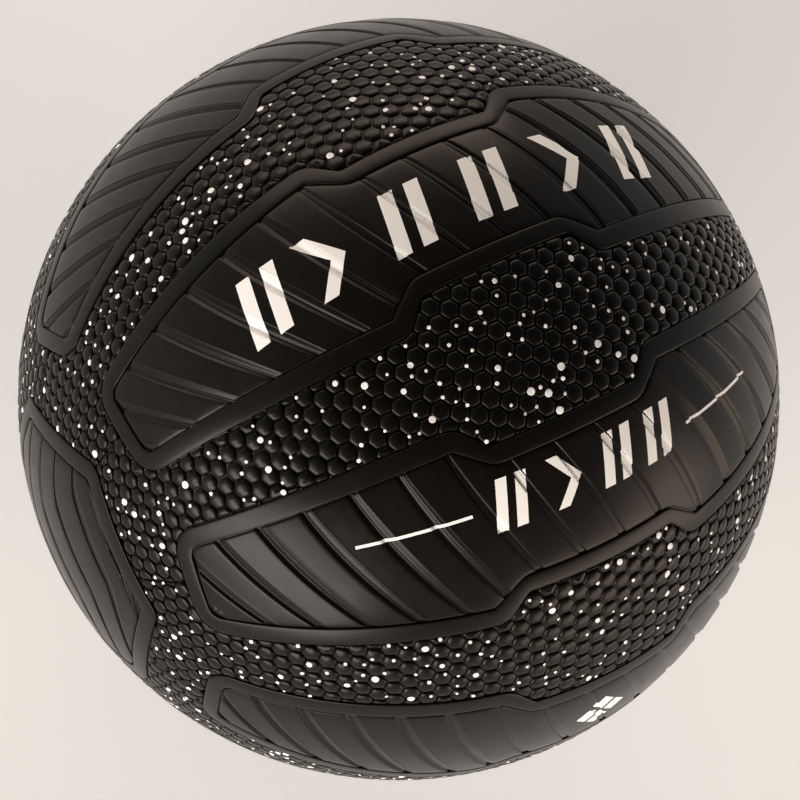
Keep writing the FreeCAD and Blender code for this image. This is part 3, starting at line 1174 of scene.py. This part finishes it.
@dataclass
class Studio:
    """The camera, a plain pale floor and soft light."""

    distance: float = 0.899
    lens: float = 126.8
    back: tuple = (-0.3491, -0.0044, 0.9371)
    right: tuple = (0.8545, -0.4120, 0.3164)
    shift: tuple = (0.0016, -0.0008)
    floor_size: float = 40.0
    sky: tuple = (
        (0.0, "#F6F5F4"), (0.1, "#D6D4D2"), (0.4, "#BEBBB8"), (0.72, "#6B6865"), (0.92, "#201F1E"),
    )
    sky_strength: float = 0.88
    # Opal acrylic lit from below: an even, glare-free white with a soft shadow.
    floor_finish: PlainFinish = PlainFinish("backlit_opal_acrylic", "#F7F7F6", 0.8, 1.49, 5.0)
    floor_glow: float = 0.28
    boxes: tuple = (
        SoftBox("upper_box", (2.25, 8.0, 1.7), 375.0, "#FFE6CC"),
        SoftBox("lower_right_box", (3.75, -7.5, 1.7), 425.0, "#FFE6CC"),
        SoftBox("lower_left_box", (-8.0, -3.25, 1.7), 1050.0, "#FFF4E8"),
    )

    def build(self) -> None:
        """Adds all of it."""
        self.add_camera()
        self.add_floor()
        world = bpy.data.worlds.new("studio")
        world.use_nodes = True
        tree = world.node_tree
        way = add_node(tree, "ShaderNodeTexCoord").outputs["Generated"]
        rise = add_node(tree, "ShaderNodeSeparateXYZ", links={0: way}).outputs["Z"]
        bands = add_node(tree, "ShaderNodeValToRGB", links={0: rise})
        stops = bands.color_ramp.elements
        while len(stops) < len(self.sky):
            stops.new(1.0)
        for stop, (height, colour) in zip(stops, self.sky):
            stop.position, stop.color = height, linear(colour)
        tree.links.new(bands.outputs[0], tree.nodes["Background"].inputs["Color"])
        tree.nodes["Background"].inputs["Strength"].default_value = self.sky_strength
        bpy.context.scene.world = world
        bpy.context.scene.view_settings.view_transform = "Standard"
        for box in self.boxes:
            box.build()

    def add_camera(self) -> None:
        """Stands the camera above the ball, with a long lens."""
        lens = bpy.data.cameras.new("camera")
        lens.lens, lens.sensor_width = self.lens, 36.0
        lens.shift_x, lens.shift_y = self.shift
        lens.clip_start = 0.02
        made = bpy.data.objects.new("camera", lens)
        back = Vector(self.back).normalized()
        right = Vector(self.right)
        right = (right - right.dot(back) * back).normalized()
        turn = Matrix((right, back.cross(right), back)).transposed()
        made.matrix_world = Matrix.Translation(back * self.distance) @ turn.to_4x4()
        bpy.context.scene.collection.objects.link(made)
        bpy.context.scene.camera = made

    def add_floor(self) -> None:
        """Lays the floor under the ball."""
        half = self.floor_size / 2
        low = -BALL_RADIUS
        mesh = bpy.data.meshes.new("floor")
        corners = [(-half, -half, low), (half, -half, low), (half, half, low), (-half, half, low)]
        mesh.from_pydata(corners, [], [(0, 1, 2, 3)])
        finish = self.floor_finish.make()
        shader = finish.node_tree.nodes["Principled BSDF"]
        shader.inputs["Emission Color"].default_value = linear("#FFFFFF")
        shader.inputs["Emission Strength"].default_value = self.floor_glow
        floor = place("floor", mesh, finish)


# ---------------------------------------------------------------- the whole ball
def main() -> None:
    """Builds the looks round the frame, piece by piece."""
    logging.basicConfig(level=logging.INFO, format="%(message)s")
    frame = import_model()
    finishes = {slot: finish.make() for slot, finish in FINISHES.items()}
    for node, slot in CAD_FINISHES.items():
        piece = frame["nodes"][node]
        piece.data.materials.clear()
        piece.data.materials.append(finishes[slot])

    strip, cap = StripOutlines(), CapOutlines()
    strip_outer, strip_inner = strip.outer(), strip.inner()
    cap_outer, cap_inner = cap.outer(), cap.inner()
    strip_tread, cap_tread = Tread(strip_inner), CapTread(cap_inner)
    strip_band, cap_band = RaisedBand(strip_outer, strip_inner), RaisedBand(cap_outer, cap_inner)
    for k in range(1, STRIP_COUNT + 1):
        turn = about("X", STRIP_STEP * (k - 0.5))
        strip_tread.build(f"tread_strip_{k}", turn, finishes[Slot.TREAD])
        strip_band.build(f"strip_band_{k}", turn, finishes[Slot.BAND])
    for side, angle in (("left", -90), ("right", 90)):
        cap_tread.build(f"{side}_cap", about("Y", angle), finishes[Slot.TREAD])
        cap_band.build(f"{side}_cap_band", about("Y", angle), finishes[Slot.BAND])
    specks = PaintSpecks()
    for gap in range(STRIP_COUNT):
        pebbles = PebbleField(gap, strip_outer, cap_outer)
        pebbles.build(f"pebble_field_{gap + 1}", finishes[Slot.PEBBLE])
        specks.build(pebbles, finishes[Slot.INK])
    ValveMouth().build(finishes)
    for name, on_strip, marks in PRINTS:
        PrintedMarks(name, on_strip, marks, strip_tread).build(finishes[Slot.INK])

    Studio().build()


if __name__ == "__main__":
    main()
